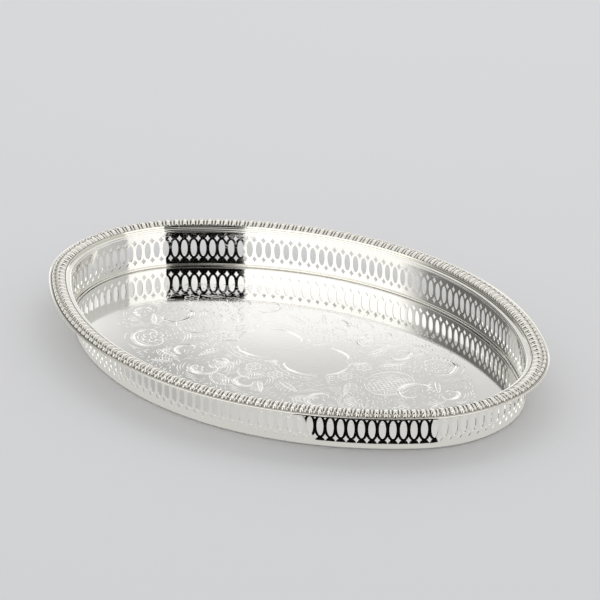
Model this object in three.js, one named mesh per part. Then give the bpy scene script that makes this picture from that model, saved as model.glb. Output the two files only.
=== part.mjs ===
// Oval gallery tray in silver plate, in millimetres, +Z up, resting on the plane z = 0.
// The tray is soldered up from a flat floor plate, four pierced gallery strips, a bead wire
// in the inside corner and four lengths of heavy border moulding.
// Every ring of the tray is a concentric offset of one four-arc oval, which is the inner lip
// of the border: two small arcs at the ends along X, and two large arcs at the sides along Y.

import * as THREE from 'three';
import { mergeGeometries, mergeVertices } from 'three/addons/utils/BufferGeometryUtils.js';

// ---- Driving dimensions ----------------------------------------------------------------

const LIP_HALF_LENGTH = 217;
const LIP_HALF_WIDTH = 146.3;
const END_RADIUS = 96;

// One tile is one pierced oval with half a star at each of its four corners.
const END_TILES = 18;
const SIDE_TILES = 52;
const TILE_COUNT = 2 * (END_TILES + SIDE_TILES);

// Joints between the four gallery strips, in tiles counted from the end of the front side.
const RIGHT_STRIP_TILES = [-13, 31];
const BACK_STRIP_TILES = [31, 57];
const LEFT_STRIP_TILES = [57, 101];
const FRONT_STRIP_TILES = [101, 127];

const SOLDER_GAP = 0.3;

const SHEET_THICKNESS = 0.9;
const WALL_OFFSET = -5.4;
const FOOT_BEND_RADIUS = 2;
const WALL_BOTTOM = FOOT_BEND_RADIUS + SHEET_THICKNESS / 2;
const WALL_TOP = 32.2;
const SHOULDER_LEAN = THREE.MathUtils.degToRad(60);
const SHOULDER_OUT_RADIUS = 0.8;
const SHOULDER_BACK_RADIUS = 0.6;
const RIM_BEND_RADIUS = 0.6;
const FLANGE_WIDTH = 3.7;

const OVAL_CENTRE_HEIGHT = 17.6;
const OVAL_HALF_WIDTH_IN_TILES = 0.34;
const OVAL_HALF_HEIGHT = 7.5;
const OVAL_SIDES = 8;
const LOWER_STAR_HEIGHT = 8.7;
const UPPER_STAR_HEIGHT = 26.4;
const STAR_HALF_WIDTH_IN_TILES = 0.28;
const STAR_HALF_HEIGHT = 3;

const FLOOR_THICKNESS = 1.2;
const FLOOR_OFFSET = WALL_OFFSET - FOOT_BEND_RADIUS - SOLDER_GAP;
const FLOOR_OUTLINE_POINTS = 140;

const WIRE_RADIUS = 0.7;
const WIRE_OFFSET = -7;
const WIRE_HEIGHT = 2.2;
const WIRE_SIDES = 8;
const TILES_PER_MOULDING_STEP = 2;

const SEAM_HALF_GAP_IN_TILES = 0.02;
const WELD_TOLERANCE = 1e-4;

// ---- Materials -------------------------------------------------------------------------

function silverMaterial(colour, roughness) {
  return new THREE.MeshStandardMaterial({ color: colour, roughness, metalness: 1 });
}

const polishedSilver = () => silverMaterial(0xe9e6df, 0.12);
const borderSilver = () => silverMaterial(0xdedad2, 0.22);
const chasedSilver = () => silverMaterial(0xf1efec, 0.3);

// ---- The four-arc oval -----------------------------------------------------------------

const END_CENTRE_X = LIP_HALF_LENGTH - END_RADIUS;
const SIDE_RADIUS =
  (END_CENTRE_X ** 2 + LIP_HALF_WIDTH ** 2 - END_RADIUS ** 2) / (2 * (LIP_HALF_WIDTH - END_RADIUS));
const SIDE_CENTRE_Y = SIDE_RADIUS - LIP_HALF_WIDTH;
const JUNCTION_ANGLE = Math.atan2(SIDE_CENTRE_Y, END_CENTRE_X);
const END_SWEEP = 2 * JUNCTION_ANGLE;
const SIDE_SWEEP = Math.PI - END_SWEEP;

// Right end, back side, left end and front side, in the order they follow each other.
const OVAL_ARCS = [
  endArc(END_CENTRE_X, -JUNCTION_ANGLE),
  sideArc(-SIDE_CENTRE_Y, JUNCTION_ANGLE),
  endArc(-END_CENTRE_X, Math.PI - JUNCTION_ANGLE),
  sideArc(SIDE_CENTRE_Y, Math.PI + JUNCTION_ANGLE),
];

function endArc(x, start) {
  return { x, y: 0, radius: END_RADIUS, start, sweep: END_SWEEP, tiles: END_TILES };
}

function sideArc(y, start) {
  return { x: 0, y, radius: SIDE_RADIUS, start, sweep: SIDE_SWEEP, tiles: SIDE_TILES };
}

// The point at a place round the oval, counted in tiles, moved outwards by the offset.
function ovalPoint(tile, offset) {
  let rest = THREE.MathUtils.euclideanModulo(tile, TILE_COUNT);
  for (const arc of OVAL_ARCS) {
    if (rest <= arc.tiles) {
      const angle = arc.start + (arc.sweep * rest) / arc.tiles;
      const radius = arc.radius + offset;
      return { x: arc.x + radius * Math.cos(angle), y: arc.y + radius * Math.sin(angle) };
    }
    rest -= arc.tiles;
  }
  return ovalPoint(0, offset);
}

// ---- Geometry helpers ------------------------------------------------------------------

// Moves each vertex to the place that a function of its x, y and z gives.
function bend(geometry, place) {
  const position = geometry.attributes.position;
  for (let i = 0; i < position.count; i += 1) {
    const point = place(position.getX(i), position.getY(i), position.getZ(i));
    position.setXYZ(i, point.x, point.y, point.z);
  }
  return geometry;
}

// Leaves out each triangle whose three corners all pass the test.
function dropFaces(geometry, test) {
  const source = geometry.attributes.position;
  const kept = [];
  for (let i = 0; i < source.count; i += 3) {
    const corners = [i, i + 1, i + 2].map((k) => new THREE.Vector3().fromBufferAttribute(source, k));
    if (!corners.every(test)) {
      corners.forEach((corner) => kept.push(...corner.toArray()));
    }
  }
  const result = new THREE.BufferGeometry();
  result.setAttribute('position', new THREE.Float32BufferAttribute(kept, 3));
  return result;
}

function weld(geometry) {
  geometry.deleteAttribute('normal');
  geometry.deleteAttribute('uv');
  const welded = mergeVertices(geometry, WELD_TOLERANCE);
  welded.computeVertexNormals();
  return welded;
}

function near(value, target) {
  return Math.abs(value - target) < WELD_TOLERANCE;
}

// A moulding of one cross-section, given as offset and height, along a stretch of the oval.
function sweepAlongOval(section, firstTile, lastTile) {
  const length = lastTile - firstTile;
  const steps = Math.round(length / TILES_PER_MOULDING_STEP);
  const straight = new THREE.ExtrudeGeometry(section, { depth: length, steps, bevelEnabled: false });
  return bend(straight, (offset, height, along) => ({ ...ovalPoint(lastTile - along, offset), z: height }));
}

function addPart(group, name, geometry, material) {
  const part = new THREE.Mesh(geometry, material);
  part.name = name;
  group.add(part);
}

// ---- Floor plate -----------------------------------------------------------------------

function floorPlateGeometry() {
  const points = [];
  for (let i = 0; i < FLOOR_OUTLINE_POINTS; i += 1) {
    const point = ovalPoint((i * TILE_COUNT) / FLOOR_OUTLINE_POINTS, FLOOR_OFFSET);
    points.push(new THREE.Vector2(point.x, point.y));
  }
  const plate = new THREE.ExtrudeGeometry(new THREE.Shape(points), {
    depth: FLOOR_THICKNESS,
    bevelEnabled: false,
  });
  return weld(plate);
}

// ---- Gallery strips --------------------------------------------------------------------

const UPRIGHT = 0;
const LEVEL = Math.PI / 2;
const PIERCED_HEIGHT = WALL_TOP - WALL_BOTTOM;

// The rows of the sheet in order from the floor to the border. Each row turns evenly from one
// lean to the next; a lean is the angle between the sheet and the upright.
const SHEET_ROWS = [
  bendRow(FOOT_BEND_RADIUS, LEVEL, LEVEL / 2),
  bendRow(FOOT_BEND_RADIUS, LEVEL / 2, UPRIGHT),
  straightRow(PIERCED_HEIGHT, UPRIGHT),
  bendRow(SHOULDER_OUT_RADIUS, UPRIGHT, SHOULDER_LEAN),
  bendRow(SHOULDER_BACK_RADIUS, SHOULDER_LEAN, UPRIGHT),
  bendRow(RIM_BEND_RADIUS, UPRIGHT, LEVEL),
  straightRow(FLANGE_WIDTH, LEVEL),
];
const PIERCED_ROW = 2;
const FLANGE_ROW = 6;

function bendRow(radius, from, to) {
  return { length: radius * Math.abs(to - from), from, to };
}

function straightRow(length, lean) {
  return { length, from: lean, to: lean };
}

// How far the sheet has moved outwards and upwards at a distance along one row.
function moveAlongRow(row, distance) {
  const turn = row.to - row.from;
  const lean = row.from + (turn * distance) / row.length;
  if (turn === 0) {
    return { offset: distance * Math.sin(lean), height: distance * Math.cos(lean), lean };
  }
  const radius = row.length / turn;
  return {
    offset: radius * (Math.cos(row.from) - Math.cos(lean)),
    height: radius * (Math.sin(lean) - Math.sin(row.from)),
    lean,
  };
}

// Place on the sheet's bent middle line, as offset and height with its outward normal, for a
// distance up the flat sheet from its bottom edge.
function sheetLine(distance) {
  let offset = WALL_OFFSET - FOOT_BEND_RADIUS;
  let height = WALL_BOTTOM - FOOT_BEND_RADIUS;
  let lean = LEVEL;
  let rest = distance;
  for (const row of SHEET_ROWS) {
    const move = moveAlongRow(row, Math.min(Math.max(rest, 0), row.length));
    if (rest > 0) {
      offset += move.offset;
      height += move.height;
      lean = move.lean;
    }
    rest -= row.length;
  }
  return { offset, height, normal: { offset: Math.cos(lean), height: -Math.sin(lean) } };
}

// Distance up the flat sheet at which a row starts.
function rowStart(index) {
  return SHEET_ROWS.slice(0, index).reduce((sum, row) => sum + row.length, 0);
}

// One pierced tile of the flat sheet: x runs from 0 to 1 tile, y is the distance up the sheet.
function piercedTileShape(bottom, top) {
  const upFromHeight = (height) => bottom + height - WALL_BOTTOM;
  const lower = upFromHeight(LOWER_STAR_HEIGHT);
  const upper = upFromHeight(UPPER_STAR_HEIGHT);
  const shape = new THREE.Shape();
  shape.moveTo(0, bottom);
  shape.lineTo(1, bottom);
  for (const star of [lower, upper]) {
    shape.lineTo(1, star - STAR_HALF_HEIGHT);
    shape.lineTo(1 - STAR_HALF_WIDTH_IN_TILES, star);
    shape.lineTo(1, star + STAR_HALF_HEIGHT);
  }
  shape.lineTo(1, top);
  shape.lineTo(0, top);
  for (const star of [upper, lower]) {
    shape.lineTo(0, star + STAR_HALF_HEIGHT);
    shape.lineTo(STAR_HALF_WIDTH_IN_TILES, star);
    shape.lineTo(0, star - STAR_HALF_HEIGHT);
  }
  const oval = [];
  for (let i = 0; i < OVAL_SIDES; i += 1) {
    const angle = (2 * Math.PI * (i + 0.5)) / OVAL_SIDES;
    const across = 0.5 + OVAL_HALF_WIDTH_IN_TILES * Math.cos(angle);
    const up = upFromHeight(OVAL_CENTRE_HEIGHT) + OVAL_HALF_HEIGHT * Math.sin(angle);
    oval.push(new THREE.Vector2(across, up));
  }
  shape.holes.push(new THREE.Path(oval));
  return shape;
}

function plainTileShape(bottom, top) {
  return new THREE.Shape([
    new THREE.Vector2(0, bottom),
    new THREE.Vector2(1, bottom),
    new THREE.Vector2(1, top),
    new THREE.Vector2(0, top),
  ]);
}

// One sheet strip, pierced and bent: its rows and tiles share their edges, so the faces
// between neighbours are left out and the whole strip is one closed body.
function galleryStripGeometry([firstTile, lastTile]) {
  const sheetTop = rowStart(SHEET_ROWS.length);
  const pieces = [];
  SHEET_ROWS.forEach((row, number) => {
    const bottom = rowStart(number);
    const top = bottom + row.length;
    const shape = number === PIERCED_ROW ? piercedTileShape(bottom, top) : plainTileShape(bottom, top);
    const tile = new THREE.ExtrudeGeometry(shape, { depth: SHEET_THICKNESS, bevelEnabled: false });
    for (let index = firstTile; index < lastTile; index += 1) {
      const isShared = (corner, side) =>
        (near(corner.x, 0) && side === 'start' && index > firstTile) ||
        (near(corner.x, 1) && side === 'end' && index < lastTile - 1) ||
        (near(corner.y, bottom) && side === 'bottom' && number > 0) ||
        (near(corner.y, top) && side === 'top' && !near(top, sheetTop));
      let open = tile;
      for (const side of ['start', 'end', 'bottom', 'top']) {
        open = dropFaces(open, (corner) => isShared(corner, side));
      }
      pieces.push(open.translate(index, 0, -SHEET_THICKNESS / 2));
    }
  });
  const seam = (tile) => {
    const atStart = near(tile, firstTile) ? SEAM_HALF_GAP_IN_TILES : 0;
    const atEnd = near(tile, lastTile) ? SEAM_HALF_GAP_IN_TILES : 0;
    return tile + atStart - atEnd;
  };
  const strip = bend(mergeGeometries(pieces), (along, up, depth) => {
    const line = sheetLine(up);
    const point = ovalPoint(seam(along), line.offset + depth * line.normal.offset);
    return { ...point, z: line.height + depth * line.normal.height };
  });
  return weld(strip);
}

// ---- Bead wire in the inside corner ----------------------------------------------------

function baseWireGeometry() {
  const section = new THREE.Shape();
  for (let i = 0; i < WIRE_SIDES; i += 1) {
    const angle = (2 * Math.PI * (i + 0.5)) / WIRE_SIDES;
    const across = WIRE_OFFSET + WIRE_RADIUS * Math.cos(angle);
    const up = WIRE_HEIGHT + WIRE_RADIUS * Math.sin(angle);
    if (i === 0) section.moveTo(across, up);
    else section.lineTo(across, up);
  }
  const bar = new THREE.ExtrudeGeometry(section, {
    depth: TILE_COUNT,
    steps: TILE_COUNT,
    bevelEnabled: false,
  });
  const openAtStart = dropFaces(bar, (corner) => near(corner.z, 0));
  const open = dropFaces(openAtStart, (corner) => near(corner.z, TILE_COUNT));
  const place = (offset, height, along) => ({ ...ovalPoint(TILE_COUNT - along, offset), z: height });
  return weld(bend(open, place));
}

// ---- Border moulding -------------------------------------------------------------------

// Cross-section of the border, from its inner lip over the gadroon crest and the bead step to
// the thin outer edge. Its underside is flat over the flange and slopes down beyond it.
function borderSection() {
  const flangeTop = sheetLine(rowStart(FLANGE_ROW)).height + SHEET_THICKNESS / 2;
  const underside = flangeTop + SOLDER_GAP;
  return new THREE.Shape([
    new THREE.Vector2(-1.3, underside),
    new THREE.Vector2(0, underside),
    new THREE.Vector2(12.6, 34.2),
    new THREE.Vector2(13, 34.5),
    new THREE.Vector2(13, 35.4),
    new THREE.Vector2(12.6, 35.8),
    new THREE.Vector2(10.9, 36.2),
    new THREE.Vector2(8.3, 37.8),
    new THREE.Vector2(6.2, 38.6),
    new THREE.Vector2(3.2, 38.2),
    new THREE.Vector2(1.2, 37.4),
    new THREE.Vector2(-0.4, 36.8),
    new THREE.Vector2(-1.3, 35.9),
  ]);
}

function borderGeometry(firstTile, lastTile) {
  const start = firstTile + SEAM_HALF_GAP_IN_TILES;
  const end = lastTile - SEAM_HALF_GAP_IN_TILES;
  return weld(sweepAlongOval(borderSection(), start, end));
}

// ---- Assembly --------------------------------------------------------------------------

const tray = new THREE.Group();

addPart(tray, 'floor_plate', floorPlateGeometry(), chasedSilver());
addPart(tray, 'base_wire', baseWireGeometry(), polishedSilver());

addPart(tray, 'gallery_right', galleryStripGeometry(RIGHT_STRIP_TILES), polishedSilver());
addPart(tray, 'gallery_back', galleryStripGeometry(BACK_STRIP_TILES), polishedSilver());
addPart(tray, 'gallery_left', galleryStripGeometry(LEFT_STRIP_TILES), polishedSilver());
addPart(tray, 'gallery_front', galleryStripGeometry(FRONT_STRIP_TILES), polishedSilver());

// The border's joints lie where the small and the large arcs of the oval meet.
addPart(tray, 'border_right', borderGeometry(0, END_TILES), borderSilver());
addPart(tray, 'border_back', borderGeometry(END_TILES, END_TILES + SIDE_TILES), borderSilver());
addPart(tray, 'border_left', borderGeometry(TILE_COUNT / 2, TILE_COUNT / 2 + END_TILES), borderSilver());
addPart(tray, 'border_front', borderGeometry(TILE_COUNT / 2 + END_TILES, TILE_COUNT), borderSilver());

export default tray;
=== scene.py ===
"""Oval silver-plated gallery tray, standing on a pale table in soft studio light.

Lengths are in metres, and angles in degrees unless a name says otherwise.
A place round the tray is counted in tiles: one tile is one pierced oval of the gallery.
An offset is a distance outwards from the border's inner lip, at right angles to it.
"""

import math

import bpy
import numpy as np
from mathutils import Matrix, Vector
from mathutils.geometry import delaunay_2d_cdt


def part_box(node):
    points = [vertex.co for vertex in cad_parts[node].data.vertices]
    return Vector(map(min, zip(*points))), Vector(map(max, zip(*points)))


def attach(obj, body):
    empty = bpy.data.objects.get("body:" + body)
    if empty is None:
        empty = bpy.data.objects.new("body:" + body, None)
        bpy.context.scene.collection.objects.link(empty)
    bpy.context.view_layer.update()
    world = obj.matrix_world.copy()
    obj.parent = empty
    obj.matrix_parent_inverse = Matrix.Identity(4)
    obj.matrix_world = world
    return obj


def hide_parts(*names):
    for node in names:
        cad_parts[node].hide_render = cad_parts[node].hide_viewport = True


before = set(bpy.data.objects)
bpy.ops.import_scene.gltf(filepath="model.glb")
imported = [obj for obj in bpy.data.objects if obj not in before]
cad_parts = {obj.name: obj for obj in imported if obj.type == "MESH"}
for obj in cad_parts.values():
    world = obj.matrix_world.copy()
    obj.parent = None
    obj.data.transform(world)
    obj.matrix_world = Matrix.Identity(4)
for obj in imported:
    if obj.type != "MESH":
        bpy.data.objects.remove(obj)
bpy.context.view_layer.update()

MM = 0.001

# ---- The four-arc oval, as in the CAD model ----------------------------------------------

LIP_HALF_LENGTH = 217 * MM
LIP_HALF_WIDTH = 146.3 * MM
END_RADIUS = 96 * MM
END_TILES = 18
SIDE_TILES = 52
TILE_COUNT = 2 * (END_TILES + SIDE_TILES)

END_CENTRE_X = LIP_HALF_LENGTH - END_RADIUS
SIDE_RADIUS = (END_CENTRE_X ** 2 + LIP_HALF_WIDTH ** 2 - END_RADIUS ** 2) / (
    2 * (LIP_HALF_WIDTH - END_RADIUS)
)
SIDE_CENTRE_Y = SIDE_RADIUS - LIP_HALF_WIDTH
JUNCTION = math.atan2(SIDE_CENTRE_Y, END_CENTRE_X)

# Centre x, centre y, radius, first angle, swept angle (radians) and number of tiles.
OVAL_ARCS = (
    (END_CENTRE_X, 0, END_RADIUS, -JUNCTION, 2 * JUNCTION, END_TILES),
    (0, -SIDE_CENTRE_Y, SIDE_RADIUS, JUNCTION, math.pi - 2 * JUNCTION, SIDE_TILES),
    (-END_CENTRE_X, 0, END_RADIUS, math.pi - JUNCTION, 2 * JUNCTION, END_TILES),
    (0, SIDE_CENTRE_Y, SIDE_RADIUS, math.pi + JUNCTION, math.pi - 2 * JUNCTION, SIDE_TILES),
)


def oval_point(tile, offset):
    """x and y of places round the oval; tile and offset are arrays of one shape."""
    tile, offset = np.broadcast_arrays(np.mod(tile, TILE_COUNT), offset)
    x, y = np.zeros(tile.shape), np.zeros(tile.shape)
    first = 0
    for centre_x, centre_y, radius, start, sweep, tiles in OVAL_ARCS:
        here = (tile >= first) & (tile <= first + tiles)
        angle = start + sweep * (tile[here] - first) / tiles
        x[here] = centre_x + (radius + offset[here]) * np.cos(angle)
        y[here] = centre_y + (radius + offset[here]) * np.sin(angle)
        first += tiles
    return x, y


def oval_offset(x, y):
    """Offset of points in the plane from the inner lip; it is negative inside the tray."""
    x, y = np.abs(x), np.abs(y)
    in_end = np.arctan2(y, x - END_CENTRE_X) < JUNCTION
    end = np.hypot(x - END_CENTRE_X, y) - END_RADIUS
    side = np.hypot(x, y + SIDE_CENTRE_Y) - SIDE_RADIUS
    return np.where(in_end & (x > END_CENTRE_X), end, side)


# ---- Sizes of the pieces -----------------------------------------------------------------

SHEET = 0.9 * MM
WALL_OFFSET = -5.4 * MM
FOOT_BEND = 2 * MM
WALL_BOTTOM = FOOT_BEND + SHEET / 2
PIERCED_TOP = 30.0 * MM
WALL_TOP = 31.8 * MM
SHOULDER_LEAN = math.radians(60)
SHOULDER_OUT = 0.8 * MM
SHOULDER_BACK = 0.6 * MM
RISER = 0.4 * MM
RIM_BEND = 0.6 * MM
FLANGE = 3.7 * MM

# The half widths of the openings are in tiles.
OVAL_HEIGHT = 17.6 * MM
OVAL_HALF_WIDTH = 0.34
OVAL_HALF_HEIGHT = 7.5 * MM
STAR_HEIGHTS = (8.7 * MM, 26.4 * MM)
STAR_HALF_WIDTH = 0.28
STAR_HALF_HEIGHT = 3.0 * MM
STAR_HOLLOW = 0.82

FLOOR_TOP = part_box("floor_plate")[1].z
FLOOR_OFFSET = -7.7 * MM
WIRE_OFFSET = -7 * MM
WIRE_HEIGHT = 2.2 * MM
WIRE_RADIUS = 0.7 * MM

END_GADROONS = 22
SIDE_GADROONS = 61
# In tiles.
SEAM_HALF_GAP = 0.012

# The first and the last tile of each strip.
GALLERY_STRIPS = {
    "gallery_right": (-13, 31),
    "gallery_back": (31, 57),
    "gallery_left": (57, 101),
    "gallery_front": (101, 127),
}
BORDER_STRIPS = {
    "border_right": (0, END_TILES),
    "border_back": (END_TILES, TILE_COUNT // 2),
    "border_left": (TILE_COUNT // 2, TILE_COUNT // 2 + END_TILES),
    "border_front": (TILE_COUNT // 2 + END_TILES, TILE_COUNT),
}


# ---- Mesh helpers ------------------------------------------------------------------------


def mesh_piece(name, vertices, faces, material, sharp_degrees=35):
    """A smooth-shaded mesh object that rides on the tray."""
    mesh = bpy.data.meshes.new(name)
    mesh.from_pydata(vertices, [], faces)
    mesh.validate()
    mesh.polygons.foreach_set("use_smooth", [True] * len(mesh.polygons))
    mesh.set_sharp_from_angle(angle=math.radians(sharp_degrees))
    mesh.materials.append(material)
    piece = bpy.data.objects.new(name, mesh)
    bpy.context.scene.collection.objects.link(piece)
    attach(piece, "root")
    return piece


def set_point_values(piece, name, values):
    """Stores one number for each vertex, which a material reads by name."""
    attribute = piece.data.attributes.new(name, "FLOAT", "POINT")
    attribute.data.foreach_set("value", np.asarray(values, dtype=np.float32).ravel())


def grid_faces(rows, columns, close_rows=False, close_columns=False):
    """Quads between the points of a grid that is stored row by row."""
    faces = []
    for row in range(rows if close_rows else rows - 1):
        low, high = row * columns, ((row + 1) % rows) * columns
        for column in range(columns if close_columns else columns - 1):
            right = (column + 1) % columns
            faces.append((low + column, low + right, high + right, high + column))
    return faces


def smooth_step(low, high, value):
    t = np.clip((value - low) / (high - low), 0, 1)
    return t * t * (3 - 2 * t)


# ---- Materials ---------------------------------------------------------------------------


class Nodes:
    """Short calls to build a node tree."""

    def __init__(self, material):
        material.use_nodes = True
        self.tree = material.node_tree
        self.shader = self.tree.nodes["Principled BSDF"]

    def add(self, kind, **settings):
        node = self.tree.nodes.new(kind)
        for key, value in settings.items():
            setattr(node, key, value)
        return node

    def link(self, source, target):
        self.tree.links.new(source, target)

    def place(self):
        return self.add("ShaderNodeTexCoord").outputs["Object"]

    def noise(self, scale, detail=3.0):
        node = self.add("ShaderNodeTexNoise")
        node.inputs["Scale"].default_value = scale
        node.inputs["Detail"].default_value = detail
        self.link(self.place(), node.inputs["Vector"])
        return node.outputs["Fac"]

    def spread(self, value, low, high, from_low, from_high):
        node = self.add("ShaderNodeMapRange")
        node.inputs["From Min"].default_value = from_low
        node.inputs["From Max"].default_value = from_high
        node.inputs["To Min"].default_value = low
        node.inputs["To Max"].default_value = high
        self.link(value, node.inputs["Value"])
        return node.outputs["Result"]

    def stored(self, name):
        return self.add("ShaderNodeAttribute", attribute_name=name).outputs["Fac"]

    def mix(self, factor, first, second):
        node = self.add("ShaderNodeMix", data_type="RGBA")
        node.inputs["A"].default_value = (*first, 1)
        node.inputs["B"].default_value = (*second, 1)
        self.link(factor, node.inputs["Factor"])
        return node.outputs["Result"]

    def bump(self, height, distance):
        node = self.add("ShaderNodeBump")
        node.inputs["Strength"].default_value = 1.0
        node.inputs["Distance"].default_value = distance
        self.link(height, node.inputs["Height"])
        self.link(node.outputs["Normal"], self.shader.inputs["Normal"])


BRIGHT_SILVER = (0.945, 0.937, 0.908)
DULL_SILVER = (0.9, 0.886, 0.845)
BORDER_SILVER = (0.92, 0.9, 0.85)
# Nearly black: tarnish in the border's hollows, darkened further as painted shade in the gaps.
TARNISH_AND_SHADE = (0.09, 0.08, 0.06)
PLAIN_FLOOR = (0.82, 0.818, 0.808)
CHASED_FLOOR = (0.77, 0.768, 0.76)
BRIGHT_CUT = (0.86, 0.858, 0.85)
DULL_CUT = (0.8, 0.798, 0.79)


def silver(name, bright, dull, polish, blur, recess=None, ripple=0.02 * MM):
    """Silver plate that drifts between two colours and two degrees of roughness.

    With recess, the second colour shows where that stored value is high instead.
    """
    material = bpy.data.materials.new(name)
    nodes = Nodes(material)
    nodes.shader.inputs["Metallic"].default_value = 1.0
    nodes.shader.inputs["IOR"].default_value = 1.5
    shade = nodes.stored(recess) if recess else nodes.noise(22)
    nodes.link(nodes.mix(shade, bright, dull), nodes.shader.inputs["Base Color"])
    haze = nodes.spread(nodes.noise(60, 5), polish, blur, 0.35, 0.7)
    nodes.link(haze, nodes.shader.inputs["Roughness"])
    nodes.bump(nodes.noise(260, 2), ripple)
    return material


POLISHED = silver("polished_silver", BRIGHT_SILVER, DULL_SILVER, 0.03, 0.07)
BORDER = silver("border_silver", BORDER_SILVER, TARNISH_AND_SHADE, 0.05, 0.1, recess="recess")
FLOOR = silver(
    "floor_silver", PLAIN_FLOOR, CHASED_FLOOR, 0.03, 0.06, recess="chased", ripple=0.006 * MM
)
CUT = silver("bright_cut_silver", BRIGHT_CUT, DULL_CUT, 0.05, 0.1)


# ---- Gallery -----------------------------------------------------------------------------

UPRIGHT, LEVEL = 0.0, math.pi / 2
COLUMNS_PER_TILE = 6
# About the real width of a tile: heights are counted in it while a flat tile is triangulated.
TILE_WIDTH = 8 * MM

# Distances up the flat sheet, counted from the bottom of the wall, and the sheet's lean there.
FOOT_LENGTH = LEVEL * FOOT_BEND
PIERCED_HEIGHT = PIERCED_TOP - WALL_BOTTOM
SHEET_KNOTS = np.cumsum([
    -FOOT_LENGTH,
    FOOT_LENGTH,
    WALL_TOP - WALL_BOTTOM,
    SHOULDER_LEAN * SHOULDER_OUT,
    SHOULDER_LEAN * SHOULDER_BACK,
    RISER,
    LEVEL * RIM_BEND,
    FLANGE,
])
SHEET_LEANS = (LEVEL, UPRIGHT, UPRIGHT, SHOULDER_LEAN, UPRIGHT, UPRIGHT, LEVEL, LEVEL)


def sheet_table():
    """Fine table of distance, offset, height and lean along the sheet's bent middle line."""
    distance = np.linspace(SHEET_KNOTS[0], SHEET_KNOTS[-1], 6001)
    lean = np.interp(distance, SHEET_KNOTS, SHEET_LEANS)
    step = distance[1] - distance[0]
    offset = WALL_OFFSET - FOOT_BEND + np.cumsum(np.sin(lean)) * step
    height = WALL_BOTTOM - FOOT_BEND + np.cumsum(np.cos(lean)) * step
    return distance, offset, height, lean


SHEET_TABLE = sheet_table()


def sheet_line(distance):
    """Offset, height and normal of the sheet's bent middle line, for distances up the sheet."""
    known, offset, height, lean = SHEET_TABLE
    offset_here = np.interp(distance, known, offset)
    height_here = np.interp(distance, known, height)
    lean_here = np.interp(distance, known, lean)
    return offset_here, height_here, np.cos(lean_here), -np.sin(lean_here)


def oval_outline(sides=30):
    """Outline of the oval opening in the middle of a tile."""
    angles = 2 * math.pi * (np.arange(sides) + 0.5) / sides
    up = OVAL_HEIGHT - WALL_BOTTOM + OVAL_HALF_HEIGHT * np.sin(angles)
    return np.stack([0.5 + OVAL_HALF_WIDTH * np.cos(angles), up], axis=1)


def half_star(edge, height, inward):
    """Outline of half a four-pointed star on a tile's edge, from its bottom to its top tip."""
    across = np.linspace(0, 1, 7)
    down = (1 - across ** STAR_HOLLOW) ** (1 / STAR_HOLLOW)
    lower = [
        (edge + inward * STAR_HALF_WIDTH * a, height - STAR_HALF_HEIGHT * b)
        for a, b in zip(across, down)
    ]
    upper = [(x, 2 * height - y) for x, y in reversed(lower[:-1])]
    return lower + upper


def tile_outline():
    """Outline of a pierced tile, anticlockwise, with half stars cut out of its two edges."""
    columns = np.linspace(0, 1, COLUMNS_PER_TILE + 1)
    outline = [(x, 0.0) for x in columns]
    for height in STAR_HEIGHTS:
        outline += half_star(1, height - WALL_BOTTOM, -1)
    outline += [(x, PIERCED_HEIGHT) for x in columns[::-1]]
    for height in reversed(STAR_HEIGHTS):
        outline += half_star(0, height - WALL_BOTTOM, 1)[::-1]
    return np.array(outline)


def inside(points, outline):
    """Whether each point lies inside a closed outline."""
    x, y = points[:, 0], points[:, 1]
    result = np.zeros(len(points), bool)
    for (x0, y0), (x1, y1) in zip(outline, np.roll(outline, -1, axis=0)):
        if y0 != y1:
            crosses = ((y0 > y) != (y1 > y)) & (x < (x1 - x0) * (y - y0) / (y1 - y0) + x0)
            result ^= crosses
    return result


def metal_points(outer, hole):
    """A grid of points in the metal of a flat tile, clear of its openings."""
    columns = np.linspace(0.08, 0.92, 6)
    rows = np.linspace(0.06, PIERCED_HEIGHT / TILE_WIDTH - 0.06, 20)
    grid = np.stack(np.meshgrid(columns, rows), -1).reshape(-1, 2)
    centre = hole.mean(axis=0)
    wide_hole = centre + (hole - centre) * 1.12
    grid = grid[inside(grid, outer) & ~inside(grid, wide_hole)]
    for edge in (0, 1):
        for height in STAR_HEIGHTS:
            across = (grid[:, 0] - edge) / 0.36
            up = (grid[:, 1] - (height - WALL_BOTTOM) / TILE_WIDTH) / 0.4
            grid = grid[np.hypot(across, up) >= 1]
    return grid


def pierced_tile():
    """Points and triangles of one flat pierced tile, x in tiles and y in metres."""
    stretch = np.array([1, 1 / TILE_WIDTH])
    outer, hole = tile_outline() * stretch, oval_outline() * stretch
    points = np.concatenate([outer, hole, metal_points(outer, hole)])
    corners, sides = len(outer), len(hole)
    edges = [(i, (i + 1) % corners) for i in range(corners)]
    edges += [(corners + i, corners + (i + 1) % sides) for i in range(sides)]
    result = delaunay_2d_cdt([Vector(p) for p in points], edges, [], 0, 1e-6)
    flat = np.array([tuple(p) for p in result[0]])
    triangles = np.array(result[2])
    middles = flat[triangles].mean(axis=1)
    kept = triangles[inside(middles, outer) & ~inside(middles, hole)]
    return flat / stretch, kept.tolist()


def gallery_rows():
    """Rows of the plain sheet below and above the pierced band, as distances up the sheet."""
    foot = np.linspace(-FOOT_LENGTH, 0, 9)
    top = np.linspace(PIERCED_HEIGHT, SHEET_KNOTS[-2], 44)
    return foot, np.append(top, SHEET_KNOTS[-1])


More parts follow.
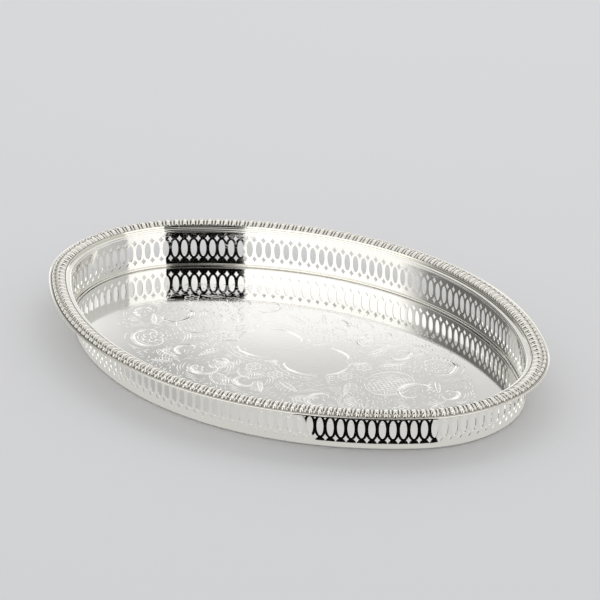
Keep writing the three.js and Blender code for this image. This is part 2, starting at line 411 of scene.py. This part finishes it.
def gallery_strip(name, first, last, tile_mesh):
    """A pierced and bent sheet strip with two faces, joined by walls round every opening."""
    flat, triangles = tile_mesh
    points, faces = [], []
    for tile in range(first, last):
        base = sum(len(p) for p in points)
        points.append(flat + (tile, 0))
        faces += [tuple(base + i for i in face) for face in triangles]
    for rows in gallery_rows():
        base = sum(len(p) for p in points)
        columns = np.linspace(first, last, (last - first) * COLUMNS_PER_TILE + 1)
        across, up = np.meshgrid(columns, rows)
        points.append(np.stack([across, up], -1).reshape(-1, 2))
        faces += [tuple(base + i for i in face) for face in grid_faces(len(rows), len(columns))]
    points = np.concatenate(points)
    keys = np.round(points * (1e4, 1e7)).astype(np.int64)
    _, keep, index = np.unique(keys, axis=0, return_index=True, return_inverse=True)
    index = index.ravel()
    points = points[keep]
    front = [tuple(int(index[i]) for i in face) for face in faces]
    return solid_sheet(name, points, front, first, last)


def solid_sheet(name, points, front, first, last):
    """Bends flat points onto the gallery and gives the sheet its thickness."""
    count = len(points)
    tile = np.clip(points[:, 0], first + SEAM_HALF_GAP, last - SEAM_HALF_GAP)
    offset, height, normal_offset, normal_height = sheet_line(points[:, 1])
    shown = []
    for depth in (SHEET / 2, -SHEET / 2):
        x, y = oval_point(tile, offset + depth * normal_offset)
        shown.append(np.stack([x, y, height + depth * normal_height], axis=1))
    edge_use = {}
    for face in front:
        for a, b in zip(face, face[1:] + face[:1]):
            edge_use[(a, b)] = edge_use.get((a, b), 0) + 1
    rims = [(a, b) for a, b in edge_use if (b, a) not in edge_use]
    back = [tuple(count + i for i in reversed(face)) for face in front]
    walls = [(b, a, count + a, count + b) for a, b in rims]
    return mesh_piece(name, np.concatenate(shown).tolist(), front + back + walls, POLISHED)


def make_gallery():
    tile_mesh = pierced_tile()
    for name, (first, last) in GALLERY_STRIPS.items():
        strip = gallery_strip(name + "_fine", first, last, tile_mesh)
        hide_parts(name)


# ---- Base wire ---------------------------------------------------------------------------


def make_base_wire():
    sides, columns = 20, TILE_COUNT * 4
    angles = 2 * math.pi * np.arange(sides) / sides
    tile, angle = np.meshgrid(np.linspace(0, TILE_COUNT, columns, endpoint=False), angles)
    x, y = oval_point(tile, WIRE_OFFSET + WIRE_RADIUS * np.cos(angle))
    z = WIRE_HEIGHT + WIRE_RADIUS * np.sin(angle)
    points = np.stack([x, y, z], -1).reshape(-1, 3)
    faces = [face[::-1] for face in grid_faces(sides, columns, True, True)]
    wire = mesh_piece("base_wire_fine", points.tolist(), faces, POLISHED)
    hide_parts("base_wire")


# ---- Border ------------------------------------------------------------------------------

GADROON_BAND = (-0.6 * MM, 7.8 * MM)
BEAD_BAND = (7.8 * MM, 10.9 * MM)
GADROON_RISE = 1.5 * MM
BEAD_RISE = 1.6 * MM
UNDERSIDE_POINTS = 5
COLUMNS_PER_GADROON = 22


def border_profile():
    """Closed section of the border: top surface from lip to edge, then the underside back."""
    lip = [(-1.3, 34.75), (-1.3, 34.85), (-1.3, 35.4), (-1.3, 36.1), (-1.3, 36.25)]
    lip += [(-1.2, 36.35), (-1.05, 36.4), (-0.85, 36.35), (-0.6, 36.2)]
    band = [
        (-0.6 + 8.4 * u, 36.2 + 0.9 * math.sin(math.pi * u ** 1.4) + 0.2 * u)
        for u in np.linspace(0, 1, 30)[1:]
    ]
    beads = [(7.8 + 3.1 * u, 36.4 - 0.7 * u) for u in np.linspace(0, 1, 16)[1:]]
    edge = [(11.1, 35.45), (11.5, 35.3), (12.0, 35.35), (12.4, 35.6), (12.8, 35.65)]
    edge += [(13.0, 35.4), (13.0, 35.2), (13.0, 34.5), (12.95, 34.35)]
    under = [(12.6, 34.2), (8.0, 34.2), (4.0, 34.4), (0.0, 34.75), (-1.2, 34.75)]
    return np.array(lip + band + beads + edge + under) * MM


def round_lobe(phase, middle, half_width):
    """1 on the middle of a lobe and 0 outside it, with a round top."""
    away = (np.mod(phase - middle + 0.5, 1) - 0.5) / half_width
    return np.sqrt(np.clip(1 - away ** 2, 0, 1))


def gadroon_relief(unit, offset):
    """Height and hollow of the gadroons: one large and one small lobe in each unit."""
    across = (offset - GADROON_BAND[0]) / (GADROON_BAND[1] - GADROON_BAND[0])
    in_band = (across > 0) & (across < 1)
    swell = np.where(in_band, np.sin(np.pi * np.clip(across, 0, 1)) ** 0.4, 0)
    lobe = np.maximum(round_lobe(unit, 0.3, 0.28), 0.74 * round_lobe(unit, 0.79, 0.16))
    return GADROON_RISE * swell * lobe, in_band * np.clip(1.2 - 1.7 * lobe, 0, 1)


def bead_relief(unit, offset):
    """Height and hollow of the beads: one large and one small bead in each unit."""
    bead_across = (offset - sum(BEAD_BAND) / 2) / ((BEAD_BAND[1] - BEAD_BAND[0]) / 2)
    bead = np.zeros_like(unit)
    for middle, half_width, rise in ((0.3, 0.25, 1.0), (0.71, 0.15, 0.8)):
        bead = np.maximum(bead, rise - bead_across ** 2 - ((unit - middle) / half_width) ** 2)
    bead = np.sqrt(np.clip(bead, 0, 1))
    in_beads = np.abs(bead_across) < 1
    return BEAD_RISE * bead * in_beads, in_beads * 0.8 * np.clip(1 - 1.5 * bead, 0, 1)


def border_relief(gadroon, offset):
    """Height that the gadroons and beads add, and how deep each point lies in a hollow; the border
    colours these hollows dark, partly as tarnish and partly as painted shade.
    """
    unit = np.mod(gadroon, 1)
    gadroon_height, gadroon_hollow = gadroon_relief(unit, offset)
    bead_height, bead_hollow = bead_relief(unit, offset)
    into_groove = smooth_step(10.9 * MM, 11.3 * MM, offset)
    out_of_groove = smooth_step(11.8 * MM, 12.3 * MM, offset)
    edge_groove = 0.5 * into_groove * (1 - out_of_groove)
    lip_groove = 0.8 * ((offset > -1.2 * MM) & (offset < -0.55 * MM))
    hollow = gadroon_hollow + bead_hollow + edge_groove + lip_groove
    return gadroon_height + bead_height, np.clip(hollow, 0, 1)


def make_border():
    profile = border_profile()
    rows = len(profile)
    on_top = (np.arange(rows) < rows - UNDERSIDE_POINTS)[:, None]
    for name, (first, last) in BORDER_STRIPS.items():
        gadroons = END_GADROONS if last - first == END_TILES else SIDE_GADROONS
        columns = gadroons * COLUMNS_PER_GADROON + 1
        tiles = np.linspace(first + SEAM_HALF_GAP, last - SEAM_HALF_GAP, columns)
        tile, offset = np.meshgrid(tiles, profile[:, 0])
        _, height = np.meshgrid(tiles, profile[:, 1])
        rise, hollow = border_relief((tile - first) / (last - first) * gadroons, offset)
        x, y = oval_point(tile, offset)
        points = np.stack([x, y, height + rise * on_top], -1).reshape(-1, 3)
        faces = grid_faces(rows, columns, close_rows=True)
        faces.append(tuple(row * columns for row in range(rows)))
        faces.append(tuple(row * columns + columns - 1 for row in reversed(range(rows))))
        faces = [face[::-1] for face in faces]
        border = mesh_piece(name + "_fine", points.tolist(), faces, BORDER, sharp_degrees=60)
        # The stored hollow depth turns the border's colour dark there: tarnish with painted shade on
        # top of it.
        set_point_values(border, "recess", hollow * on_top)
        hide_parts(name)


# ---- Floor -------------------------------------------------------------------------------

# The chased field starts this far inside the lip, and the plate is a little duller within it.
FIELD_EDGE = 41 * MM
# The rings of the floor's mesh follow the oval as far in as this offset.
INNER_RING_OFFSET = -85 * MM


def make_floor():
    """The flat plate: rings of points that follow the oval, then shrink to its middle."""
    columns = TILE_COUNT * 3
    rings = np.linspace(FLOOR_OFFSET - 0.2 * MM, INNER_RING_OFFSET, 44)
    rings = np.append(FLOOR_OFFSET, rings)
    tile, offset = np.meshgrid(np.linspace(0, TILE_COUNT, columns, endpoint=False), rings)
    x, y = oval_point(tile, offset)
    scales = np.linspace(0.9, 0.0, 10)[:-1]
    x = np.concatenate([x] + [x[-1:] * s for s in scales])
    y = np.concatenate([y] + [y[-1:] * s for s in scales])
    rows = len(x)
    top = np.stack([x, y, np.full_like(x, FLOOR_TOP)], -1).reshape(-1, 3)
    points = np.concatenate([top, [(0, 0, FLOOR_TOP)], top[:columns] * (1, 1, 0)])
    faces = grid_faces(rows, columns, close_columns=True)
    middle, inner, under = rows * columns, (rows - 1) * columns, rows * columns + 1
    for i in range(columns):
        j = (i + 1) % columns
        faces.append((inner + i, inner + j, middle))
        faces.append((under + i, under + j, j, i))
    faces.append(tuple(under + i for i in reversed(range(columns))))
    floor = mesh_piece("floor_fine", points.tolist(), faces, FLOOR)
    inwards = -oval_offset(points[:, 0], points[:, 1])
    chased = smooth_step(FIELD_EDGE - 3 * MM, FIELD_EDGE + 6 * MM, inwards)
    set_point_values(floor, "chased", chased)
    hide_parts("floor_plate")


# ---- Chasing on the floor ----------------------------------------------------------------
# A stroke is a row of points in millimetres, with the width and the height of its cut.

# Half length and half width of the plain middle panel.
CARTOUCHE = (49, 23)
FINE, MEDIUM, BROAD, CRESCENT = (1.0, 0.05), (1.5, 0.08), (2.8, 0.15), (2.6, 0.24)
GROUND_PITCH = 3.4
GROUND_CELL = 1.6


def stroke(points, weight):
    return {"points": np.array(points, float), "width": weight[0], "height": weight[1]}


def arc(x, y, radius_x, radius_y, start, end, weight, count=14, curl=0.0):
    """A stroke round an ellipse; with curl its two ends roll inwards."""
    steps = np.linspace(0, 1, count)
    angle = np.radians(start + (end - start) * steps)
    shrink = 1 - curl * np.abs(2 * steps - 1) ** 4
    across = x + radius_x * shrink * np.cos(angle)
    up = y + radius_y * shrink * np.sin(angle)
    return stroke(np.stack([across, up], 1), weight)


def ring(x, y, radius, weight):
    """A circle, as two strokes whose thin ends overlap."""
    return [arc(x, y, radius, radius, start, start + 185, weight) for start in (0, 180)]


def unit_vector(degrees):
    return np.array([math.cos(math.radians(degrees)), math.sin(math.radians(degrees))])


def turned(strokes, x, y, degrees):
    """Strokes drawn about the origin, turned and moved to x, y."""
    a = math.radians(degrees)
    turn = np.array([[math.cos(a), math.sin(a)], [-math.sin(a), math.cos(a)]])
    return [{**item, "points": item["points"] @ turn + (x, y)} for item in strokes]


def rosette(x, y, radius, petals=6):
    """An open flower: a ring of petals, each an open loop with a vein, round a ringed eye."""
    parts = ring(0, 0, radius * 0.24, MEDIUM)
    for index in range(petals):
        petal = [
            arc(radius * 0.64, 0, radius * 0.36, radius * 0.3, -140, 140, MEDIUM, 12),
            stroke([(radius * 0.34, 0), (radius * 0.75, 0)], FINE),
        ]
        parts += turned(petal, 0, 0, index * 360 / petals)
    return turned(parts, x, y, 10)


def c_scroll(x, y, radius, degrees, sweep=250):
    """A broad C-scroll between two fine lines, with short ribs outside it."""
    half = sweep / 2
    parts = [arc(0, 0, radius, radius, -half, half, BROAD, 26, 0.55)]
    parts.append(arc(0, 0, radius * 0.82, radius * 0.82, -half * 0.7, half * 0.7, FINE, 18, 0.2))
    parts.append(arc(0, 0, radius * 1.14, radius * 1.14, -half * 0.8, half * 0.8, FINE, 20, 0.1))
    for angle in np.arange(-half * 0.6, half * 0.6, 11):
        out = unit_vector(angle)
        parts.append(stroke([out * radius * 1.16, out * radius * 1.3], FINE))
    return turned(parts, x, y, degrees)


def leaf(x, y, length, degrees, bend, pairs=7):
    """An acanthus leaf: a curved spine with pairs of curled side cuts that shorten to its tip."""
    along = np.linspace(0, 1, 12)
    spine = np.stack([length * along, length * bend * along ** 2], 1)
    parts = [stroke(spine, MEDIUM)]
    steps = np.linspace(0, 1, 7)[:, None]
    for index in range(pairs):
        s = (index + 0.6) / pairs
        weight = MEDIUM if index % 2 else FINE
        root = np.array([length * s, length * bend * s ** 2])
        reach = length * 0.34 * math.sin(math.pi * (0.25 + 0.72 * s))
        for side in (-1, 1):
            tip = np.array([0.85, side * 0.8]) * reach
            curl = np.array([-0.3, side * 0.25]) * reach
            parts.append(stroke(root + tip * steps + curl * steps * (1 - steps) * 2, weight))
    return turned(parts, x, y, degrees)


def fan(x, y, radius, degrees, ribs=11, sweep=150):
    """A shell: ribs that spread from its foot to a scalloped edge."""
    parts = []
    angles = np.linspace(-sweep / 2, sweep / 2, ribs)
    for angle in angles:
        out = unit_vector(angle)
        parts.append(stroke([out * radius * 0.3, out * radius * 0.65, out * radius], MEDIUM))
    gap = sweep / (ribs - 1)
    for angle in (angles[:-1] + angles[1:]) / 2:
        scallop = unit_vector(angle) * radius
        parts.append(arc(*scallop, radius * 0.13, radius * 0.13, angle - 95, angle + 95, FINE, 8))
    parts.append(arc(0, 0, radius * 0.26, radius * 0.26, -sweep / 2, sweep / 2, MEDIUM, 10))
    parts.append(arc(0, 0, radius * 1.22, radius * 1.22, -sweep / 2 - gap, sweep / 2 + gap, FINE, 20))
    return turned(parts, x, y, degrees)


def lattice(x, y, half_width, half_height, degrees, pitch=3.2):
    """A diaper ground: two sets of crossing lines inside an oval, with a line round it."""
    parts = []
    along = np.linspace(-45, 45, 181)
    for side in (1, -1):
        for shift in np.arange(-40, 40.1, pitch):
            line = np.stack([(along + shift) / 1.4, side * (along - shift) / 1.4], 1)
            line = line[(line[:, 0] / half_width) ** 2 + (line[:, 1] / half_height) ** 2 < 1]
            if len(line) > 8:
                parts.append(stroke([line[0], line.mean(axis=0), line[-1]], FINE))
    for start in (0, 180):
        edge = arc(0, 0, half_width * 1.06, half_height * 1.06, start, start + 178, MEDIUM, 24)
        parts.append(edge)
    return turned(parts, x, y, degrees)


def cartouche():
    """The frame of the plain middle panel: broad crescents whose tips meet in small leaves."""
    parts = []
    for side_x in (-1, 1):
        for side_y in (-1, 1):
            x, start, end = side_x * 25, side_y * 90 - 70, side_y * 90 + 70
            parts.append(arc(x, side_y * 15, 20, 11, start, end, CRESCENT, 24, 0.12))
            parts.append(arc(x, side_y * 18, 23, 13, start, end, FINE, 24))
            parts.append(arc(x, side_y * 20, 26, 15, start + 10, end - 10, FINE, 24))
            turn = 90 - side_x * (90 - side_y * 18)
            parts += leaf(side_x * 47, side_y * 13, 15, turn, side_x * side_y * 0.5, 5)
        facing = 90 - side_x * 90
        parts.append(arc(side_x * 45, 0, 8, 14, facing - 75, facing + 75, BROAD, 20, 0.1))
    for side_y in (-1, 1):
        parts += leaf(-2, side_y * 19, 11, 90 * side_y + 28, 0.3, 4)
        parts += leaf(2, side_y * 19, 11, 90 * side_y - 28, -0.3, 4)
    return parts


# Each motif is drawn again half a turn round the tray.
# x, y and radius.
ROSETTES = (
    (60, -6, 6.5),
    (61, 16, 6.5),
    (-6, -40, 6.5),
    (17, -40, 6.5),
    (104, 53, 9),
    (-38, -74, 7),
    (132, -22, 6.5),
)
# x, y, radius and the direction of the middle of its back, in degrees.
C_SCROLLS = (
    (103, 52, 17, 60),
    (66, 52, 10, 10),
    (122, 10, 15, 180),
    (-34, -55, 10, 20),
    (75, -50, 12, 200),
    (142, 22, 9, 20),
    (34, 66, 12, 120),
    (-8, 62, 10, 60),
)
# x, y, radius and the direction in which it spreads.
FANS = (
    (98, -32, 14, 250),
    (-8, -66, 13, 265),
    (0, 46, 11, 90),
    (146, -6, 10, 0),
)
# x, y of the foot, length, the direction in which it grows, and how far its spine bends.
LEAVES = (
    (68, 24, 22, 35, 0.3),
    (70, -12, 22, -40, -0.3),
    (26, -46, 24, -30, 0.3),
    (-14, -46, 24, 215, -0.3),
    (52, -62, 22, 20, 0.3),
    (86, 66, 20, 160, 0.3),
    (120, 34, 20, -60, 0.3),
    (112, -42, 20, 10, 0.35),
    (48, 34, 20, 60, 0.3),
    (30, 44, 18, 100, -0.3),
    (14, -56, 20, -60, 0.3),
    (-60, -76, 18, 190, 0.3),
)
# x, y, half width, half height and turn.
LATTICE = (95, 7, 18, 20, 15)


def motifs():
    """All motifs of the field, and the circle that each C-scroll fills."""
    strokes, circles = [], []
    for turn, side in ((0, 1), (180, -1)):
        drawn = []
        for row in ROSETTES:
            drawn += rosette(*row)
        for x, y, radius, degrees in C_SCROLLS:
            drawn += c_scroll(x, y, radius, degrees)
            circles.append((side * x, side * y, radius * 1.3))
        for row in FANS:
            drawn += fan(*row)
        for row in LEAVES:
            drawn += leaf(*row)
        drawn += lattice(*LATTICE)
        strokes += turned(drawn, 0, 0, turn)
    return strokes, circles


def echo_lines(circles):
    """Fine lines that repeat the outline of the scrolls, further and further out."""
    parts = []
    for x, y, radius in circles:
        for step in range(1, 4):
            reach = radius + 2.3 * step
            for start in range(9 * step, 360 + 9 * step, 60):
                parts.append(arc(x, y, reach, reach, start, start + 42, FINE, 9))
    clear = []
    for item in parts:
        middle = item["points"][len(item["points"]) // 2]
        if all(math.dist(middle, (x, y)) > radius for x, y, radius in circles):
            clear.append(item)
    return clear


def in_field(item):
    """Whether a stroke lies in the chased field and outside the plain cartouche."""
    x, y = item["points"].T
    past_edge = oval_offset(x * MM, y * MM) > -FIELD_EDGE
    on_panel = np.abs(x / CARTOUCHE[0]) ** 2.6 + np.abs(y / CARTOUCHE[1]) ** 2.6 < 1
    return not np.any(past_edge | on_panel)


def add_ribbon(item, points, faces):
    """A stroke as a closed ridge with a three-cornered section that thins out at both ends."""
    line = item["points"] * MM
    forward = np.gradient(line, axis=0)
    forward /= np.linalg.norm(forward, axis=1)[:, None] + 1e-12
    across = np.stack([-forward[:, 1], forward[:, 0]], 1)
    swell = np.sin(np.pi * np.linspace(0.03, 0.97, len(line))) ** 0.6
    half = across * (swell * item["width"] * MM / 2)[:, None]
    base = len(points)
    sunk = FLOOR_TOP - 0.02 * MM
    for point, side, rise in zip(line, half, swell * item["height"] * MM):
        points.append((*(point + side), sunk))
        points.append((*point, FLOOR_TOP + rise))
        points.append((*(point - side), sunk))
    for index in range(len(line) - 1):
        here, ahead = base + 3 * index, base + 3 * index + 3
        faces.append((here, here + 1, ahead + 1, ahead))
        faces.append((here + 1, here + 2, ahead + 2, ahead + 1))
        faces.append((here + 2, here, ahead, ahead + 2))
    last = base + 3 * (len(line) - 1)
    faces.append((base, base + 2, base + 1))
    faces.append((last, last + 1, last + 2))


def ground_cells(item):
    """The small squares of the ground that a stroke's points lie in."""
    return {(round(x / GROUND_CELL), round(y / GROUND_CELL)) for x, y in item["points"]}


def filler(strokes, circles):
    """Short curved cuts that fill the ground between the motifs and flow round the scrolls."""
    taken = set().union(*(ground_cells(item) for item in strokes))
    rng = np.random.default_rng(7)
    parts = []
    for x in np.arange(-180, 180, GROUND_PITCH):
        for y in np.arange(-110, 110, GROUND_PITCH):
            place = np.array((x, y)) + rng.uniform(-1.2, 1.2, 2)
            swing, length = rng.uniform(-25, 25), rng.uniform(3.5, 6.5)
            near = min(circles, key=lambda circle: math.dist(place, circle[:2]))
            lean = math.degrees(math.atan2(place[1] - near[1], place[0] - near[0])) + 70 + swing
            item = turned([arc(0, -length, length, length, 60, 120, FINE, 6)], *place, lean)[0]
            cells = ground_cells(item)
            if cells.isdisjoint(taken):
                taken |= cells
                parts.append(item)
    return parts


def make_chasing():
    strokes, circles = motifs()
    strokes = [item for item in strokes + echo_lines(circles) if in_field(item)] + cartouche()
    strokes += [item for item in filler(strokes, circles) if in_field(item)]
    points, faces = [], []
    for item in strokes:
        add_ribbon(item, points, faces)
    chasing = mesh_piece("floor_chasing", points, faces, CUT, sharp_degrees=12)


# ---- Stage -------------------------------------------------------------------------------

# Metres; the roll is in degrees, and the lens and the sensor are in millimetres.
CAMERA_PLACE = Vector((1.690, -1.8744, 1.2031))
CAMERA_AIM = Vector((-0.0641, 0.0803, 0))
CAMERA_ROLL = -0.356
CAMERA_LENS = 209.6
CAMERA_SENSOR = 36

OVERHEAD_PLACE = Vector((-0.5, 0.9, 1.7))
OVERHEAD_AIM = Vector((0, 0.1, 0))


def make_camera():
    data = bpy.data.cameras.new("camera")
    data.sensor_width = CAMERA_SENSOR
    data.lens = CAMERA_LENS
    data.clip_end = 50
    camera = bpy.data.objects.new("camera", data)
    turn = (CAMERA_AIM - CAMERA_PLACE).to_track_quat("-Z", "Y").to_matrix().to_4x4()
    roll = Matrix.Rotation(math.radians(CAMERA_ROLL), 4, "Z")
    camera.matrix_world = Matrix.Translation(CAMERA_PLACE) @ turn @ roll
    bpy.context.scene.collection.objects.link(camera)
    bpy.context.scene.camera = camera


def matt_material(name, colour):
    """Matt paper of one colour, for the stage."""
    material = bpy.data.materials.new(name)
    shader = Nodes(material).shader
    shader.inputs["Base Color"].default_value = (*colour, 1)
    shader.inputs["Roughness"].default_value = 0.9
    shader.inputs["Specular IOR Level"].default_value = 0.0
    return material


def make_table():
    half = 4.0
    mesh = bpy.data.meshes.new("table")
    corners = [(-half, -half, 0), (half, -half, 0), (half, half, 0), (-half, half, 0)]
    mesh.from_pydata(corners, [], [(0, 1, 2, 3)])
    mesh.materials.append(matt_material("table_paper", (0.8, 0.8, 0.81)))
    table = bpy.data.objects.new("table", mesh)
    bpy.context.scene.collection.objects.link(table)


def direction(azimuth, elevation):
    """Unit vector; azimuth 0 points to -Y and 90 to +X, elevation is above the table."""
    a, e = math.radians(azimuth), math.radians(elevation)
    return Vector((math.sin(a) * math.cos(e), -math.cos(a) * math.cos(e), math.sin(e)))


# The brightness of a painted black board, whose painted reflection is the tray's hard black patch.
BLACK = 0.004

# Azimuth, the brightness of the studio low down, and the elevation at which the ceiling's
# brightness takes over, painted on a dome that only the silver shows. A black board is painted on the
# camera's side; the rest is white or grey.
SURROUND = (
    (-116, 0.68, 44),
    (-108, 0.58, 44),
    (-103, 0.2, 36),
    (-66, 0.17, 36),
    (-52, 0.3, 36),
    (-38, 1.4, 50),
    (21.6, 1.55, 50),
    (22, BLACK, 86),
    (60, BLACK, 86),
    (60.4, 1.45, 50),
    (103, 1.3, 46),
    (106, 0.66, 44),
    (196, 0.7, 42),
    (202, 1.2, 42),
    (210, 1.15, 42),
    (215, 0.96, 42),
    (220, 0.95, 42),
    (223, 0.94, 42),
    (224.4, 0.87, 42),
    (225.3, 0.75, 42),
    (226.5, 0.62, 42),
    (228, 0.7, 42),
    (232, 1.2, 42),
    (240, 1.25, 42),
    (244, 0.6, 44),
)
# Behind the tray, between two azimuths, the brightness changes with the elevation too: each
# row gives an elevation and the factor there.
BACK_AZIMUTHS = (202, 240)
BACK_FADE = (
    (10, 1.15),
    (20, 1.25),
    (24.4, 1.32),
    (24.8, 1.26),
    (25.1, 1.16),
    (25.3, 1.04),
    (25.6, 0.95),
    (26.2, 0.82),
    (27, 0.78),
    (30, 0.84),
    (35, 1.1),
    (42, 1.15),
)
# Elevation and brightness of the ceiling.
CEILING_SHADES = ((0, 0.95), (40, 0.95), (70, 0.8), (90, 0.84))
SURROUND_RADIUS = 3.5


def surround_shade(azimuth, elevation):
    """Brightness of the surround in one direction."""
    azimuths, sides, tops = np.array(SURROUND).T
    side, top = np.interp(azimuth, azimuths, sides), np.interp(azimuth, azimuths, tops)
    in_back = (azimuth > BACK_AZIMUTHS[0]) & (azimuth < BACK_AZIMUTHS[1])
    side = side * np.where(in_back, np.interp(elevation, *np.array(BACK_FADE).T), 1)
    ceiling = np.interp(elevation, *np.array(CEILING_SHADES).T)
    rise = smooth_step(top - 3, top + 3, elevation)
    return side * (1 - rise) + ceiling * rise


def glow_material(name, tint):
    """Glows with the brightness that is stored at each vertex."""
    material = matt_material(name, (0, 0, 0))
    nodes = Nodes(material)
    nodes.shader.inputs["Emission Color"].default_value = (*tint, 1)
    nodes.link(nodes.stored("shade"), nodes.shader.inputs["Emission Strength"])
    material.cycles.emission_sampling = "NONE"
    return material


def reflected_mesh(name, points, faces, shades, material):
    """Part of the stage that shows only in the silver, with a brightness at each vertex."""
    mesh = bpy.data.meshes.new(name)
    mesh.from_pydata(points, [], faces)
    mesh.materials.append(material)
    item = bpy.data.objects.new(name, mesh)
    set_point_values(item, "shade", shades)
    bpy.context.scene.collection.objects.link(item)
    item.visible_camera = False
    item.visible_diffuse = False
    item.visible_shadow = False


def make_surround():
    """A glowing dome round the table, seen only in the silver: its shades are a painted reflection of
    the studio.
    """
    steps = np.arange(SURROUND[0][0], SURROUND[-1][0], 3)
    azimuths = np.union1d(steps, [row[0] for row in SURROUND])
    elevations = np.concatenate([np.arange(-1, 40, 1.5), np.arange(40, 91, 2.5)])
    elevations = np.union1d(elevations, [row[0] for row in BACK_FADE])
    azimuth, elevation = np.meshgrid(azimuths, elevations)
    places = [
        tuple(direction(a, e) * SURROUND_RADIUS)
        for a, e in zip(azimuth.ravel(), elevation.ravel())
    ]
    faces = grid_faces(len(elevations), len(azimuths))
    shades = surround_shade(azimuth, elevation)
    glow = glow_material("studio_glow", (1.0, 0.995, 0.975))
    reflected_mesh("surround", places, faces, shades, glow)


# Brightness of the ring's painted reflection of the paper.
PAPER_SHADE = 0.64
# The painted dark patch on the ring, which the front of the wall mirrors: its tiles, the offset where
# it starts, and by how many tiles its left end slants, which dies away with the offset and along the
# wall.
DARK_TILES = (127.0, 142.2)
DARK_START = 6 * MM
DARK_SLANT = 3.0
SLANT_DEPTH = 48 * MM
SLANT_TILES = 10


def make_table_glow():
    """A glowing ring on the table, seen only in the silver: a painted reflection of the paper in
    front of the wall, with a painted black patch.
    """
    first_dark, last_dark = DARK_TILES[0] + 0.1, DARK_TILES[1] - 0.1
    tiles = np.append(np.arange(TILE_COUNT), [first_dark, last_dark, *DARK_TILES])
    tiles = np.unique(np.mod(tiles, TILE_COUNT))
    offsets = np.array([-4, 5.5, 6, 20, 35, 48, 140]) * MM
    tile, offset = np.meshgrid(tiles, offsets)
    slant = DARK_SLANT * np.clip(1 - offset / SLANT_DEPTH, 0, 1)
    slant = slant * np.clip(1 - np.abs(tile - DARK_TILES[0]) / SLANT_TILES, 0, 1)
    x, y = oval_point(tile + slant, offset)
    points = np.stack([x, y, np.full_like(x, 0.3 * MM)], -1).reshape(-1, 3)
    in_dark_tiles = (tile > DARK_TILES[0]) | (tile < DARK_TILES[1] - TILE_COUNT)
    dark = in_dark_tiles & (offset >= DARK_START - 0.1 * MM)
    shades = np.where(dark, BLACK, PAPER_SHADE)
    faces = grid_faces(len(offsets), len(tiles), close_columns=True)
    glow = glow_material("painted_paper_reflection", (1.0, 1.0, 0.97))
    reflected_mesh("table_glow", points.tolist(), faces, shades, glow)


def make_overhead_light():
    """A soft box above the table that the silver doesn't show."""
    data = bpy.data.lights.new("overhead", "AREA")
    data.shape = "RECTANGLE"
    data.size = 2.2
    data.size_y = 1.6
    data.energy = 5.5
    light = bpy.data.objects.new("overhead", data)
    light.location = OVERHEAD_PLACE
    light.rotation_mode = "QUATERNION"
    light.rotation_quaternion = (OVERHEAD_AIM - OVERHEAD_PLACE).to_track_quat("-Z", "Y")
    light.visible_glossy = False
    bpy.context.scene.collection.objects.link(light)


def make_world():
    """Even light from all round."""
    world = bpy.data.worlds.new("studio")
    world.use_nodes = True
    background = world.node_tree.nodes["Background"]
    background.inputs["Color"].default_value = (0.99, 0.995, 1.0, 1)
    background.inputs["Strength"].default_value = 0.74
    bpy.context.scene.world = world


make_camera()
make_gallery()
make_base_wire()
make_border()
make_floor()
make_chasing()
make_table()
make_surround()
make_table_glow()
make_overhead_light()
make_world()

bpy.context.scene.view_settings.view_transform = "Standard"
